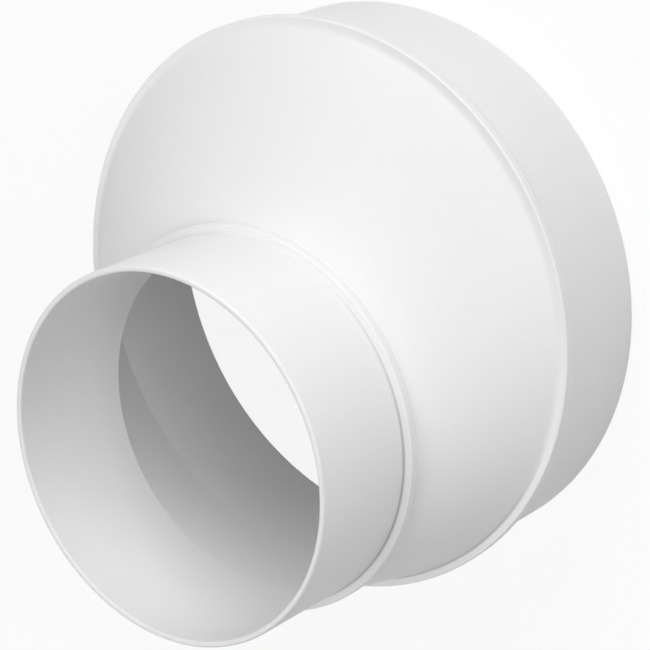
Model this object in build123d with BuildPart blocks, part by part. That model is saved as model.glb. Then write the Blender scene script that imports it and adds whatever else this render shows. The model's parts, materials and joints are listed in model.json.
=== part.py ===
"""Eccentric duct reducer, 150 mm to 100 mm: one moulded plastic piece.

The part stands on its large rim, with its axes along +Z. The origin is the centre of the
large rim, and the small spigot is set over towards +X, so that the +X side of the cone is
upright and the -X side flares.
"""

import os
from math import hypot

from build123d import *

# Driving dimensions, in millimetres
large_duct_bore = 150.0
small_duct_bore = 100.0
slip_clearance = 0.25
large_spigot_length = 33.0
small_spigot_length = 33.0
cone_length = 21.9
collar_height = 2.4
collar_width = 2.8
collar_bevel = 0.35
rim_wall = 1.6
rim_bevel = 0.4
large_root_wall = 2.4
throat_wall = 3.1
cone_wall = 2.3

# Each spigot slips into its duct
large_radius = large_duct_bore / 2 - slip_clearance
small_radius = small_duct_bore / 2 - slip_clearance

# Each bore narrows inwards from its rim, so that its core draws out
large_rim_bore_radius = large_radius - rim_wall
small_rim_bore_radius = small_radius - rim_wall
large_root_bore_radius = large_radius - large_root_wall
throat_radius = small_radius - throat_wall

# The two axes lie apart by the difference of the radii, which keeps the +X side upright
axis_offset = large_radius - small_radius

# Heights above the large rim
cone_base = large_spigot_length + collar_width
cone_top = cone_base + cone_length
small_spigot_base = cone_top + collar_width
overall_height = small_spigot_base + small_spigot_length

# Where the inside of the cone starts and ends, from the wall of its steepest side
steep_run = 2 * axis_offset
steep_slant = hypot(steep_run, cone_length)
bell_setback = (cone_wall * steep_slant - large_root_wall * cone_length) / steep_run
throat_setback = (cone_wall * steep_slant - throat_wall * cone_length) / steep_run
bell_height = cone_base - bell_setback
throat_height = cone_top - throat_setback

large_axis = Plane.XY
small_axis = Plane((axis_offset, 0, 0), x_dir=(1, 0, 0), z_dir=(0, 0, 1))


def section_of(axis_plane: Plane) -> Plane:
    """The upright plane through an axis, with radius as its X and height as its Y."""
    return Plane(axis_plane.origin, x_dir=(1, 0, 0), z_dir=(0, -1, 0))


with BuildPart() as reducer:
    # Large spigot, with the stop collar that its duct butts against
    with BuildSketch(section_of(large_axis)):
        with BuildLine():
            Polyline(
                (0, 0),
                (large_radius, 0),
                (large_radius, large_spigot_length),
                (large_radius + collar_height, large_spigot_length),
                (large_radius + collar_height, cone_base),
                (0, cone_base),
                close=True,
            )
        large_collar_corners = make_face().vertices().group_by(Axis.X)[-1]
        chamfer(large_collar_corners, collar_bevel)
    revolve(axis=Axis.Z)

    # Oblique cone between the two collars
    with BuildSketch(large_axis.offset(cone_base)):
        Circle(large_radius)
    with BuildSketch(small_axis.offset(cone_top)):
        Circle(small_radius)
    loft(ruled=True)

    # Small spigot, with its own stop collar
    with BuildSketch(section_of(small_axis)):
        with BuildLine():
            Polyline(
                (0, cone_top),
                (small_radius + collar_height, cone_top),
                (small_radius + collar_height, small_spigot_base),
                (small_radius, small_spigot_base),
                (small_radius, overall_height),
                (0, overall_height),
                close=True,
            )
        small_collar_corners = make_face().vertices().group_by(Axis.X)[-1]
        chamfer(small_collar_corners, collar_bevel)
    revolve(axis=Axis(small_axis.origin, small_axis.z_dir))

    # Large bore
    with BuildSketch(large_axis):
        Circle(large_rim_bore_radius)
    with BuildSketch(large_axis.offset(bell_height)):
        Circle(large_root_bore_radius)
    loft(ruled=True, mode=Mode.SUBTRACT)

    # Inside of the cone
    with BuildSketch(large_axis.offset(bell_height)):
        Circle(large_root_bore_radius)
    with BuildSketch(small_axis.offset(throat_height)):
        Circle(throat_radius)
    loft(ruled=True, mode=Mode.SUBTRACT)

    # Small bore
    with BuildSketch(small_axis.offset(throat_height)):
        Circle(throat_radius)
    with BuildSketch(small_axis.offset(overall_height)):
        Circle(small_rim_bore_radius)
    loft(ruled=True, mode=Mode.SUBTRACT)

    # Broken edges of both open rims
    rims = reducer.faces().filter_by(GeomType.PLANE).sort_by(Axis.Z)
    chamfer(rims[0].edges() + rims[-1].edges(), rim_bevel)

reducer.part.label = "reducer_body"
os.makedirs("parts", exist_ok=True)
export_step(reducer.part, "parts/reducer_body.step")
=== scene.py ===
"""Looks of a white moulded duct reducer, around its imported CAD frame.

The reducer is one moulded wall. Its visible mesh is drawn ring by ring from the small rim, down the
outside, and back up through the bores, with its corners rounded as a mould leaves them. It stands in
place of the CAD node, on the same sizes.
"""

import json
import logging
import math
from dataclasses import dataclass
from enum import Enum
from typing import Any

import bpy
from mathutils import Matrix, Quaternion, Vector


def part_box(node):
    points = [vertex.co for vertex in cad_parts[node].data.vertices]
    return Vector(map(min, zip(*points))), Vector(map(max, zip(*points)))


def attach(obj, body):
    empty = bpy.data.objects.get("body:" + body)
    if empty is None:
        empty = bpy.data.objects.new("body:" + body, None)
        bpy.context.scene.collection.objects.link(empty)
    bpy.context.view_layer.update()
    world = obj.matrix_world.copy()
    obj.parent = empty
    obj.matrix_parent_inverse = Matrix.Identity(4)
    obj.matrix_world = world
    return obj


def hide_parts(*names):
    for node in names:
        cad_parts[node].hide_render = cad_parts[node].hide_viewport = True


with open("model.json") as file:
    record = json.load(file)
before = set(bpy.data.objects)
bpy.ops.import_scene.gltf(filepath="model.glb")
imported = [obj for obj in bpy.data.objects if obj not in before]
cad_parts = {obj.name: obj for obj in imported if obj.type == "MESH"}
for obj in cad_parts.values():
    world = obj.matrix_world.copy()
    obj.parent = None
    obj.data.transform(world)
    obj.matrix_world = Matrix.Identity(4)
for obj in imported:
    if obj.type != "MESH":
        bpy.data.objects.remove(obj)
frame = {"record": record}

LOG = logging.getLogger("duct_reducer")
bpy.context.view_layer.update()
NODE = "reducer_body"
BODY = "root"
MM = 0.001

# Sockets of a Mix node that mixes two colours
MIX_SHARE = 0
MIX_FIRST = 6
MIX_SECOND = 7
MIX_RESULT = 2


class DuctAxis(Enum):
    """The two parallel axes that the rings are centred on."""

    LARGE = "large_spigot"
    SMALL = "small_spigot"


class LightRole(Enum):
    """What each softbox is there for."""

    KEY = "key"
    SIDE = "side"
    FILL = "fill"


def linear_colour(hex_code: str) -> tuple[float, float, float, float]:
    """Turn an sRGB hex colour into linear light.

    Args:
        hex_code: Six hex digits after a hash sign.

    Returns:
        Linear red, green and blue, and an alpha of one.
    """
    channels = [int(hex_code[i:i + 2], 16) / 255 for i in (1, 3, 5)]
    linear = [c / 12.92 if c <= 0.04045 else ((c + 0.055) / 1.055) ** 2.4 for c in channels]
    return (*linear, 1.0)


def add_node(
    tree: bpy.types.NodeTree,
    kind: str,
    settings: dict[str, Any] | None = None,
    values: dict[str, Any] | None = None,
    links: dict[str, bpy.types.NodeSocket] | None = None,
) -> bpy.types.Node:
    """Add one shader node, set it up and wire its inputs.

    Args:
        tree: The node tree that takes the node.
        kind: The node's type name.
        settings: Properties of the node itself.
        values: Constant values, by input name.
        links: Output sockets to join, by input name.

    Returns:
        The new node.
    """
    node = tree.nodes.new(kind)
    for name, value in (settings or {}).items():
        setattr(node, name, value)
    for name, value in (values or {}).items():
        node.inputs[name].default_value = value
    for name, socket in (links or {}).items():
        tree.links.new(socket, node.inputs[name])
    return node


@dataclass(frozen=True)
class Corner:
    """The circle of an inside corner, in metres, and where and how deeply painted shade darkens it."""

    centre: tuple[float, float, float]
    radius: float
    shaded_side: tuple[float, float, float]
    shade_onset: float
    shade_least: float
    shade_most: float


@dataclass(frozen=True)
class MouldedWhite:
    """White polypropylene, moulded in a fine satin tool: an even white, faintly wavy, with a soft sheen."""

    name: str = "satin_white_polypropylene"
    white: str = "#EEEEEE"
    shade: str = "#EBEBEB"
    speck: str = "#BBBBBB"
    # Grey of the shade painted into the inside corners
    painted_shade: str = "#A3A3A3"
    ior: float = 1.49
    roughness_low: float = 0.42
    roughness_high: float = 0.48
    patch_low: float = 0.3
    patch_high: float = 0.7
    patch_mm: float = 18.0
    tone_mm: float = 35.0
    wave_mm: float = 9.0
    wave_height_mm: float = 0.012
    grain_mm: float = 0.9
    grain_height_mm: float = 0.002
    speck_spacing_mm: float = 22.0
    speck_radius_mm: float = 0.3
    speck_core: float = 0.6
    speck_share: float = 0.35
    # How far the painted corner shade reaches from the corner
    painted_shade_width_mm: float = 0.8

    def build(self, corners: list[Corner]) -> bpy.types.Material:
        """Make the material.

        Args:
            corners: The inside corners that take a line of painted shade.

        Returns:
            The new material, all on Object coordinates.
        """
        material = bpy.data.materials.new(self.name)
        material.use_nodes = True
        tree = material.node_tree
        tree.nodes.clear()
        place = add_node(tree, "ShaderNodeTexCoord").outputs["Object"]
        colour = self._plain_colour(tree, place)
        # Painted shade: each inside corner is darkened in the colour itself
        for corner in corners:
            colour = self._paint_corner_shade(tree, place, colour, corner)
        roughness = self._roughness(tree, place)
        normal = self._normal(tree, place)
        shader = add_node(
            tree,
            "ShaderNodeBsdfPrincipled",
            values={"IOR": self.ior, "Metallic": 0.0},
            links={"Base Color": colour, "Roughness": roughness, "Normal": normal},
        )
        add_node(tree, "ShaderNodeOutputMaterial", links={"Surface": shader.outputs["BSDF"]})
        return material

    def _plain_colour(self, tree: bpy.types.NodeTree, place: bpy.types.NodeSocket) -> bpy.types.NodeSocket:
        """A slow drift between two near whites, with sparse fine specks from the granulate.

        Args:
            tree: The material's node tree.
            place: Object coordinates.

        Returns:
            The colour before the corners' painted shade.
        """
        tone = add_node(
            tree,
            "ShaderNodeMix",
            settings={"data_type": "RGBA"},
            values={MIX_FIRST: linear_colour(self.white), MIX_SECOND: linear_colour(self.shade)},
            links={MIX_SHARE: self._noise(tree, place, self.tone_mm, detail=2.0)},
        )
        cells = add_node(
            tree,
            "ShaderNodeTexVoronoi",
            values={"Scale": 1 / (self.speck_spacing_mm * MM), "Randomness": 1.0},
            links={"Vector": place},
        )
        spot = add_node(
            tree,
            "ShaderNodeMapRange",
            values={
                "From Min": self.speck_core * self.speck_radius_mm / self.speck_spacing_mm,
                "From Max": self.speck_radius_mm / self.speck_spacing_mm,
                "To Min": self.speck_share,
                "To Max": 0.0,
            },
            links={"Value": cells.outputs["Distance"]},
        )
        specked = add_node(
            tree,
            "ShaderNodeMix",
            settings={"data_type": "RGBA"},
            values={MIX_SECOND: linear_colour(self.speck)},
            links={MIX_SHARE: spot.outputs["Result"], MIX_FIRST: tone.outputs[MIX_RESULT]},
        )
        return specked.outputs[MIX_RESULT]

    def _paint_corner_shade(
        self,
        tree: bpy.types.NodeTree,
        place: bpy.types.NodeSocket,
        plain: bpy.types.NodeSocket,
        corner: Corner,
    ) -> bpy.types.NodeSocket:
        """Paint a thin grey line of shade along an inside corner, deeper towards one side.

        Args:
            tree: The material's node tree.
            place: Object coordinates.
            plain: The colour without the painted shade.
            corner: The corner that takes the painted shade.

        Returns:
            The colour with its painted shade.
        """
        offset = add_node(
            tree,
            "ShaderNodeVectorMath",
            settings={"operation": "SUBTRACT"},
            values={1: corner.centre},
            links={0: place},
        ).outputs[0]
        amount = add_node(
            tree,
            "ShaderNodeMapRange",
            settings={"interpolation_type": "SMOOTHSTEP"},
            values={"From Min": 0.0, "From Max": self.painted_shade_width_mm * MM, "To Max": 0.0},
            links={
                "Value": self._distance(tree, offset, corner),
                "To Min": self._painted_shade_share(tree, offset, corner),
            },
        )
        corner_shaded = add_node(
            tree,
            "ShaderNodeMix",
            settings={"data_type": "RGBA"},
            values={MIX_SECOND: linear_colour(self.painted_shade)},
            links={MIX_SHARE: amount.outputs["Result"], MIX_FIRST: plain},
        )
        return corner_shaded.outputs[MIX_RESULT]

    def _painted_shade_share(
        self, tree: bpy.types.NodeTree, offset: bpy.types.NodeSocket, corner: Corner
    ) -> bpy.types.NodeSocket:
        """How deep the painted shade in the corner is at a point, most on its shaded side.

        Args:
            tree: The material's node tree.
            offset: The point, from the corner's centre.
            corner: The corner that takes the painted shade.

        Returns:
            A share from the corner's least to its most.
        """
        sideways = add_node(
            tree,
            "ShaderNodeVectorMath",
            settings={"operation": "DOT_PRODUCT"},
            values={1: corner.shaded_side},
            links={0: offset},
        )
        share = add_node(
            tree,
            "ShaderNodeMapRange",
            values={
                "From Min": corner.shade_onset * corner.radius,
                "From Max": corner.radius,
                "To Min": corner.shade_least,
                "To Max": corner.shade_most,
            },
            links={"Value": sideways.outputs["Value"]},
        )
        return share.outputs["Result"]

    @staticmethod
    def _distance(
        tree: bpy.types.NodeTree, offset: bpy.types.NodeSocket, corner: Corner
    ) -> bpy.types.NodeSocket:
        """How far a point lies from a corner's circle.

        Args:
            tree: The material's node tree.
            offset: The point, from the corner's centre.
            corner: The corner.

        Returns:
            The distance, in metres.
        """
        level = add_node(
            tree,
            "ShaderNodeVectorMath",
            settings={"operation": "MULTIPLY"},
            values={1: (1.0, 1.0, 0.0)},
            links={0: offset},
        )
        span = add_node(
            tree,
            "ShaderNodeVectorMath",
            settings={"operation": "LENGTH"},
            links={0: level.outputs[0]},
        )
        height = add_node(tree, "ShaderNodeSeparateXYZ", links={0: offset})
        section = add_node(
            tree, "ShaderNodeCombineXYZ", links={"X": span.outputs["Value"], "Z": height.outputs["Z"]}
        )
        reach = add_node(
            tree,
            "ShaderNodeVectorMath",
            settings={"operation": "DISTANCE"},
            values={1: (corner.radius, 0.0, 0.0)},
            links={0: section.outputs[0]},
        )
        return reach.outputs["Value"]

    def _roughness(self, tree: bpy.types.NodeTree, place: bpy.types.NodeSocket) -> bpy.types.NodeSocket:
        """Gloss that varies a little from place to place, as handled plastic does.

        Args:
            tree: The material's node tree.
            place: Object coordinates.

        Returns:
            The roughness.
        """
        patches = self._noise(tree, place, self.patch_mm, detail=4.0)
        spread = add_node(
            tree,
            "ShaderNodeMapRange",
            values={
                "From Min": self.patch_low,
                "From Max": self.patch_high,
                "To Min": self.roughness_low,
                "To Max": self.roughness_high,
            },
            links={"Value": patches},
        )
        return spread.outputs["Result"]

    def _normal(self, tree: bpy.types.NodeTree, place: bpy.types.NodeSocket) -> bpy.types.NodeSocket:
        """Faint shrinkage waves under a fine grain, drawn coarser than a real tool mark so that it shows.

        Args:
            tree: The material's node tree.
            place: Object coordinates.

        Returns:
            The bumped normal.
        """
        wave = add_node(
            tree,
            "ShaderNodeBump",
            values={"Strength": 1.0, "Distance": self.wave_height_mm * MM},
            links={"Height": self._noise(tree, place, self.wave_mm, detail=1.0)},
        )
        grain = add_node(
            tree,
            "ShaderNodeBump",
            values={"Strength": 1.0, "Distance": self.grain_height_mm * MM},
            links={
                "Height": self._noise(tree, place, self.grain_mm, detail=2.0),
                "Normal": wave.outputs["Normal"],
            },
        )
        return grain.outputs["Normal"]

    @staticmethod
    def _noise(
        tree: bpy.types.NodeTree, place: bpy.types.NodeSocket, size_mm: float, detail: float
    ) -> bpy.types.NodeSocket:
        """Smooth noise.

        Args:
            tree: The material's node tree.
            place: Object coordinates.
            size_mm: How far across its lumps are, about.
            detail: How many finer layers it has.

        Returns:
            The noise, from zero to one.
        """
        noise = add_node(
            tree,
            "ShaderNodeTexNoise",
            values={"Scale": 1 / (size_mm * MM), "Detail": detail, "Roughness": 0.5},
            links={"Vector": place},
        )
        return noise.outputs["Fac"]


@dataclass(frozen=True)
class Ring:
    """One round edge of the wall, in millimetres."""

    axis: DuctAxis
    radius: float
    height: float
    rounding: float


@dataclass
class ReducerWall:
    """The moulded wall: two spigots, two stop collars and the eccentric cone, in millimetres."""

    large_radius: float
    small_radius: float
    axis_offset: float
    overall_height: float
    collar_height: float
    collar_width: float = 2.8
    spigot_length: float = 33.0
    rim_wall: float = 1.6
    large_root_wall: float = 2.4
    throat_wall: float = 3.1
    cone_wall: float = 2.3
    rim_rounding: float = 0.65
    collar_rounding: float = 0.4
    corner_rounding: float = 0.2
    cone_rounding: float = 0.8
    neck_rounding: float = 0.3
    throat_rounding: float = 0.3
    rounding_steps: int = 3
    facets: int = 256

    @classmethod
    def from_frame(cls, record: dict[str, Any]) -> "ReducerWall":
        """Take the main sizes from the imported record's mounts and the node's box.

        Args:
            record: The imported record.

        Returns:
            A wall of those sizes.
        """
        mounts = {mount["name"]: mount for mount in record["mounts"]}
        large = mounts[DuctAxis.LARGE.value]
        small = mounts[DuctAxis.SMALL.value]
        lowest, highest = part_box(NODE)
        return cls(
            large_radius=large["dims"]["r_mm"],
            small_radius=small["dims"]["r_mm"],
            axis_offset=(small["pos_m"][0] - large["pos_m"][0]) / MM,
            overall_height=(highest.z - lowest.z) / MM,
            collar_height=highest.y / MM - large["dims"]["r_mm"],
        )

    def rings(self) -> list[Ring]:
        """List the wall's edges in order, down the outside and back up the inside.

        Returns:
            The rings, each with its own rounding.
        """
        large_collar_base = self.spigot_length
        cone_base = large_collar_base + self.collar_width
        small_collar_top = self.overall_height - self.spigot_length
        cone_top = small_collar_top - self.collar_width
        cone_length = cone_top - cone_base
        steep_run = 2 * self.axis_offset
        steep_slant = math.hypot(steep_run, cone_length)
        bell = cone_base - (self.cone_wall * steep_slant - self.large_root_wall * cone_length) / steep_run
        throat = cone_top - (self.cone_wall * steep_slant - self.throat_wall * cone_length) / steep_run
        small_collar = self.small_radius + self.collar_height
        large_collar = self.large_radius + self.collar_height
        small, large = DuctAxis.SMALL, DuctAxis.LARGE
        return [
            Ring(small, self.small_radius, self.overall_height, self.rim_rounding),
            Ring(small, self.small_radius, small_collar_top, self.corner_rounding),
            Ring(small, small_collar, small_collar_top, self.collar_rounding),
            Ring(small, small_collar, cone_top, self.collar_rounding),
            Ring(small, self.small_radius, cone_top, self.neck_rounding),
            Ring(large, self.large_radius, cone_base, self.cone_rounding),
            Ring(large, large_collar, cone_base, self.collar_rounding),
            Ring(large, large_collar, large_collar_base, self.collar_rounding),
            Ring(large, self.large_radius, large_collar_base, self.corner_rounding),
            Ring(large, self.large_radius, 0.0, self.rim_rounding),
            Ring(large, self.large_radius - self.rim_wall, 0.0, self.rim_rounding),
            Ring(large, self.large_radius - self.large_root_wall, bell, self.throat_rounding),
            Ring(small, self.small_radius - self.throat_wall, throat, self.throat_rounding),
            Ring(small, self.small_radius - self.rim_wall, self.overall_height, self.rim_rounding),
        ]

    def painted_shade_corners(self) -> list[Corner]:
        """Find the inside corners, where the small spigot and the cone meet their collars, that take
        painted shade.

        Returns:
            The small collar's corner and the large one's.
        """
        # Painted shade: each corner is darkest towards its shaded side, from its least share to its most
        small = Corner(
            centre=(self.axis_offset * MM, 0.0, (self.overall_height - self.spigot_length) * MM),
            radius=self.small_radius * MM,
            shaded_side=(0.26, 0.97, 0.0),
            shade_onset=0.2,
            shade_least=0.15,
            shade_most=0.85,
        )
        large = Corner(
            centre=(0.0, 0.0, (self.spigot_length + self.collar_width) * MM),
            radius=self.large_radius * MM,
            shaded_side=(0.71, 0.71, 0.0),
            shade_onset=0.8,
            shade_least=0.0,
            shade_most=0.9,
        )
        return [small, large]

    def centre(self, ring: Ring) -> Vector:
        """Find a ring's centre.

        Args:
            ring: The ring.

        Returns:
            The centre, in metres.
        """
        offset = self.axis_offset if ring.axis is DuctAxis.SMALL else 0.0
        return Vector((offset, 0.0, ring.height)) * MM

    def build(self) -> bpy.types.Object:
        """Model the wall and make it ride in place of the CAD node.

        Returns:
            The finished piece.
        """
        rings = self.rings()
        wall = self._draw_rings(rings)
        for ring in rings:
            self._round_ring(wall, ring)
        self._finish_mesh(wall)
        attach(wall, BODY)
        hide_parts(NODE)
        return wall

    def dress(self, wall: bpy.types.Object, finish: MouldedWhite) -> None:
        """Give the wall its finish, with painted shade in its inside corners.

        Args:
            wall: The wall's object.
            finish: The finish.
        """
        wall.data.materials.append(finish.build(self.painted_shade_corners()))

    def _draw_rings(self, rings: list[Ring]) -> bpy.types.Object:
        """Extrude the first ring through all the others and close the wall.

        Args:
            rings: The wall's edges, in order.

        Returns:
            The closed wall, with sharp corners.
        """
        bpy.ops.object.select_all(action="DESELECT")
        first = rings[0]
        bpy.ops.mesh.primitive_circle_add(
            vertices=self.facets, radius=first.radius * MM, location=self.centre(first)
        )
        bpy.ops.object.transform_apply(location=True, rotation=False, scale=False)
        wall = bpy.context.object
        wall.name = "reducer_wall"
        bpy.ops.object.mode_set(mode="EDIT")
        bpy.ops.mesh.select_mode(type="EDGE")
        bpy.ops.mesh.select_all(action="SELECT")
        for here, following in zip(rings, rings[1:] + rings[:1]):
            growth = following.radius / here.radius
            start = self.centre(here)
            bpy.ops.mesh.extrude_region_move()
            bpy.ops.transform.resize(value=(growth, growth, 1.0), center_override=start)
            bpy.ops.transform.translate(value=self.centre(following) - start)
        bpy.ops.mesh.select_all(action="SELECT")
        bpy.ops.mesh.remove_doubles(threshold=0.001 * MM)
        bpy.ops.mesh.normals_make_consistent(inside=False)
        bpy.ops.object.mode_set(mode="OBJECT")
        return wall

    def _round_ring(self, wall: bpy.types.Object, ring: Ring) -> None:
        """Round one ring's edge.

        Args:
            wall: The wall's object.
            ring: The edge to round.
        """
        bpy.ops.object.mode_set(mode="EDIT")
        bpy.ops.mesh.select_all(action="DESELECT")
        bpy.ops.object.mode_set(mode="OBJECT")
        points = wall.data.vertices
        for edge in wall.data.edges:
            edge.select = all(self._lies_on(ring, points[index].co) for index in edge.vertices)
        bpy.ops.object.mode_set(mode="EDIT")
        bpy.ops.mesh.bevel(
            offset=ring.rounding * MM, segments=self.rounding_steps, profile=0.5, affect="EDGES"
        )
        bpy.ops.object.mode_set(mode="OBJECT")

    def _lies_on(self, ring: Ring, point: Vector) -> bool:
        """Tell whether a point lies on a ring.

        Args:
            ring: The ring.
            point: The point, in metres.

        Returns:
            True within a hundredth of a millimetre.
        """
        offset = point - self.centre(ring)
        near = 0.01 * MM
        return abs(offset.z) < near and abs(offset.xy.length - ring.radius * MM) < near

    @staticmethod
    def _finish_mesh(wall: bpy.types.Object) -> None:
        """Shade the wall smooth, with its broad faces keeping their own normals.

        Args:
            wall: The wall's object.
        """
        bpy.ops.object.shade_smooth()
        weighted = wall.modifiers.new("broad_faces", "WEIGHTED_NORMAL")
        weighted.weight = 100
        bpy.ops.object.modifier_apply(modifier=weighted.name)


@dataclass(frozen=True)
class Softbox:
    """One square studio light, in metres and watts."""

    role: LightRole
    place: tuple[float, float, float]
    size: float
    power: float

    def hang(self, target: Vector) -> None:
        """Add the light and aim it.

        Args:
            target: The point that it lights.
        """
        data = bpy.data.lights.new(f"softbox_{self.role.value}", "AREA")
        data.shape = "SQUARE"
        data.size = self.size
        data.energy = self.power
        lamp = bpy.data.objects.new(data.name, data)
        lamp.location = self.place
        lamp.rotation_euler = (target - Vector(self.place)).to_track_quat("-Z", "Y").to_euler()
        bpy.context.scene.collection.objects.link(lamp)


@dataclass(frozen=True)
class Studio:
    """A white floor, white surroundings and softboxes at a plain level."""

    target: tuple[float, float, float] = (0.01, 0.0, 0.045)
    floor_size: float = 8.0
    floor_white: str = "#F4F4F4"
    floor_bounce: str = "#D0D0D0"
    shadow_share: float = 0.12
    ambient: float = 0.05
    softboxes: tuple[Softbox, ...] = (
        Softbox(LightRole.KEY, (-0.553, -0.109, 0.447), 0.60, 3.5),
        Softbox(LightRole.SIDE, (-0.270, 0.491, 0.457), 0.45, 2.45),
        Softbox(LightRole.FILL, (0.542, -0.215, 0.447), 0.60, 2.2),
    )

    def build(self) -> None:
        """Lay the floor, hang the lights and set the surroundings."""
        self._floor()
        for softbox in self.softboxes:
            softbox.hang(Vector(self.target))
        self._surroundings()

    @staticmethod
    def _seen_directly(tree: bpy.types.NodeTree) -> bpy.types.NodeSocket:
        """Tell what is looked at, also in a reflection or through something, from what lights the part.

        Args:
            tree: The floor's or the world's node tree.

        Returns:
            One for camera, glossy and transmission rays, and zero for the others.
        """
        path = add_node(tree, "ShaderNodeLightPath")
        mirror = add_node(
            tree,
            "ShaderNodeMath",
            settings={"operation": "MAXIMUM"},
            links={0: path.outputs["Is Glossy Ray"], 1: path.outputs["Is Transmission Ray"]},
        )
        seen = add_node(
            tree,
            "ShaderNodeMath",
            settings={"operation": "MAXIMUM"},
            links={0: path.outputs["Is Camera Ray"], 1: mirror.outputs[0]},
        )
        return seen.outputs[0]

    def _floor(self) -> None:
        """A plain white floor that looks white and still takes a faint shadow."""
        bpy.ops.object.select_all(action="DESELECT")
        bpy.ops.mesh.primitive_plane_add(size=self.floor_size, location=(0.0, 0.0, 0.0))
        floor = bpy.context.object
        floor.name = "floor"
        material = bpy.data.materials.new("white_floor")
        material.use_nodes = True
        tree = material.node_tree
        tree.nodes.clear()
        paint = add_node(tree, "ShaderNodeBsdfDiffuse", values={"Color": linear_colour(self.floor_white)})
        glow = add_node(tree, "ShaderNodeEmission", values={"Strength": 1.0})
        bounce = add_node(tree, "ShaderNodeBsdfDiffuse", values={"Color": linear_colour(self.floor_bounce)})
        look = add_node(
            tree,
            "ShaderNodeMixShader",
            values={0: 1.0 - self.shadow_share},
            links={1: paint.outputs[0], 2: glow.outputs[0]},
        )
        both = add_node(
            tree,
            "ShaderNodeMixShader",
            links={0: self._seen_directly(tree), 1: bounce.outputs[0], 2: look.outputs[0]},
        )
        add_node(tree, "ShaderNodeOutputMaterial", links={"Surface": both.outputs[0]})
        floor.data.materials.append(material)

    def _surroundings(self) -> None:
        """White all round when looked at, and a plain soft light on the part."""
        world = bpy.data.worlds.new("white_surroundings")
        bpy.context.scene.world = world
        world.use_nodes = True
        tree = world.node_tree
        tree.nodes.clear()
        level = add_node(
            tree,
            "ShaderNodeMapRange",
            values={"To Min": self.ambient, "To Max": 1.0},
            links={"Value": self._seen_directly(tree)},
        )
        light = add_node(tree, "ShaderNodeBackground", links={"Strength": level.outputs["Result"]})
        add_node(tree, "ShaderNodeOutputWorld", links={"Surface": light.outputs[0]})


@dataclass(frozen=True)
class PhotoCamera:
    """The photograph's viewpoint, in millimetres and degrees."""

    place: tuple[float, float, float] = (-270.7, 341.6, 540.9)
    target: tuple[float, float, float] = (2.58, 5.00, 37.28)
    roll: float = 114.0
    lens: float = 141.3
    sensor: float = 36.0

    def build(self) -> None:
        """Set up the camera and make it the scene's own."""
        data = bpy.data.cameras.new("photo_camera")
        data.lens = self.lens
        data.sensor_width = self.sensor
        data.sensor_fit = "HORIZONTAL"
        camera = bpy.data.objects.new("photo_camera", data)
        aim = Vector(self.target) - Vector(self.place)
        level = aim.to_track_quat("-Z", "Y")
        camera.rotation_mode = "QUATERNION"
        camera.rotation_quaternion = level @ Quaternion((0.0, 0.0, 1.0), math.radians(-self.roll))
        camera.location = Vector(self.place) * MM
        bpy.context.scene.collection.objects.link(camera)
        bpy.context.scene.camera = camera


def main() -> None:
    """Build the reducer, the studio and the camera, in that order."""
    logging.basicConfig(level=logging.INFO)
    reducer = ReducerWall.from_frame(frame["record"])
    wall = reducer.build()
    reducer.dress(wall, MouldedWhite())
    LOG.info("%s: %d faces", wall.name, len(wall.data.polygons))
    Studio().build()
    PhotoCamera().build()
    bpy.context.scene.view_settings.view_transform = "Standard"


if __name__ == "__main__":
    main()
